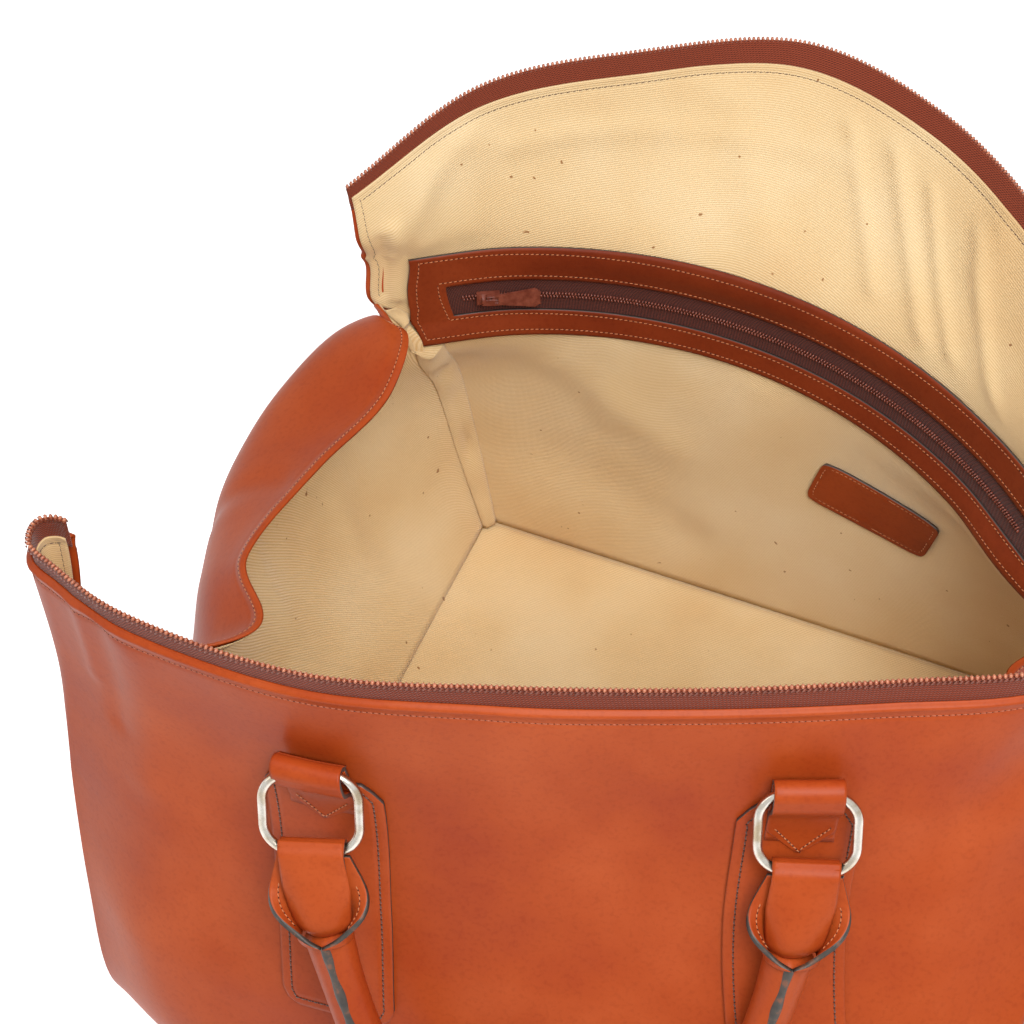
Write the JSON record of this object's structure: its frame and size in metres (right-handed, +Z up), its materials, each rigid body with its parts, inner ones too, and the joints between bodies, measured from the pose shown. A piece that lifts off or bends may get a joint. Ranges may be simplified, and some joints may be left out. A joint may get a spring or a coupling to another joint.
{
  "type": "leather travel bag",
  "caption": "Soft leather travel bag standing open, cotton lined, zip mouth, rolled handles on metal rings, inner zip pocket with a leather frame.",
  "frame": {"origin": "centre of the underside of the base", "axes": "+X to the right along the bag's length, +Y to the back, +Z up"},
  "size_m": [0.5805, 0.5534, 0.3476],
  "materials": {
    "leather": "satin tan",
    "dark_leather": "satin red brown",
    "lining": "cream cotton twill",
    "board": "stiff board, hidden",
    "zip_tape": "woven red brown",
    "zip_metal": "aged metal",
    "brown_zip": "brown lacquered metal",
    "steel": "polished nickel"
  },
  "bodies": {
    "bag": {"base_panel": "leather", "base_board": "board", "base_lining": "lining", "front_panel": "leather", "back_panel": "leather", "left_gusset": "leather", "right_gusset": "leather", "front_lining": "lining", "back_lining": "lining", "left_gusset_lining": "lining", "right_gusset_lining": "lining", "front_zip_tape": "zip_tape", "back_zip_tape": "zip_tape", "front_zip_teeth": "zip_metal", "back_zip_teeth": "zip_metal", "zip_bottom_stop": "zip_metal", "pocket_frame": "dark_leather", "pocket_zip_tape": "zip_tape", "pocket_zip_teeth": "brown_zip", "label_patch": "dark_leather", "front_left_patch": "leather", "front_right_patch": "leather", "back_left_patch": "leather", "back_right_patch": "leather"},
    "front_left_ring": {"front_left_ring": "steel"},
    "front_right_ring": {"front_right_ring": "steel"},
    "front_handle": {"front_handle": "leather"},
    "back_left_ring": {"back_left_ring": "steel"},
    "back_right_ring": {"back_right_ring": "steel"},
    "back_handle": {"back_handle": "leather"},
    "zip_slider": {"zip_slider": "zip_metal"},
    "zip_puller": {"zip_puller": "zip_metal"},
    "pocket_zip_slider": {"pocket_zip_slider": "brown_zip"},
    "pocket_zip_puller": {"pocket_zip_puller": "brown_zip"}
  },
  "joints": [
    {"name": "front_left_ring_swing", "type": "hinge", "parent": "bag", "child": "front_left_ring", "pos_m": [-0.11309, -0.21005, 0.26266], "axis": [-0.9518, -0.3029, -0.0481], "range_deg": [0, 128]},
    {"name": "front_right_ring_swing", "type": "hinge", "parent": "bag", "child": "front_right_ring", "pos_m": [0.10461, -0.14078, 0.27365], "axis": [-0.9518, -0.3029, -0.0481], "range_deg": [0, 128]},
    {"name": "front_handle_swing", "type": "hinge", "parent": "front_left_ring", "child": "front_handle", "pos_m": [-0.10563, -0.22769, 0.22607], "axis": [-0.9518, -0.3029, -0.0481], "range_deg": [0, 35]},
    {"name": "back_left_ring_swing", "type": "hinge", "parent": "bag", "child": "back_left_ring", "pos_m": [-0.15736, 0.17017, 0.25332], "axis": [0.9999, 0.0047, -0.0126], "range_deg": [0, 100]},
    {"name": "back_right_ring_swing", "type": "hinge", "parent": "bag", "child": "back_right_ring", "pos_m": [0.07134, 0.17124, 0.25044], "axis": [0.9999, 0.0047, -0.0126], "range_deg": [0, 100]},
    {"name": "back_handle_swing", "type": "hinge", "parent": "back_left_ring", "child": "back_handle", "pos_m": [-0.15789, 0.17233, 0.21208], "axis": [0.9999, 0.0047, -0.0126], "range_deg": [0, 35]},
    {"name": "zip_slide", "type": "slide", "parent": "bag", "child": "zip_slider", "axis": [-0.9995, 0, 0.0322], "range_m": [0, 0.032]},
    {"name": "zip_puller_flip", "type": "hinge", "parent": "zip_slider", "child": "zip_puller", "pos_m": [0.30517, 0, 0.32732], "axis": [0, 1, 0], "range_deg": [0, 160]},
    {"name": "pocket_zip_slide", "type": "hinge", "parent": "bag", "child": "pocket_zip_slider", "pos_m": [-0.04, -0.108, 0.225], "axis": [0, 0, -1], "range_deg": [0, 64]},
    {"name": "pocket_zip_puller_flip", "type": "hinge", "parent": "pocket_zip_slider", "child": "pocket_zip_puller", "pos_m": [-0.16241, 0.12637, 0.22712], "axis": [0.0908, -0.1738, -0.9806], "range_deg": [0, 150]}
  ],
  "couplings": [
    {"joint": "front_right_ring_swing", "follows": "front_left_ring_swing", "ratio": 1},
    {"joint": "back_right_ring_swing", "follows": "back_left_ring_swing", "ratio": 1}
  ]
}
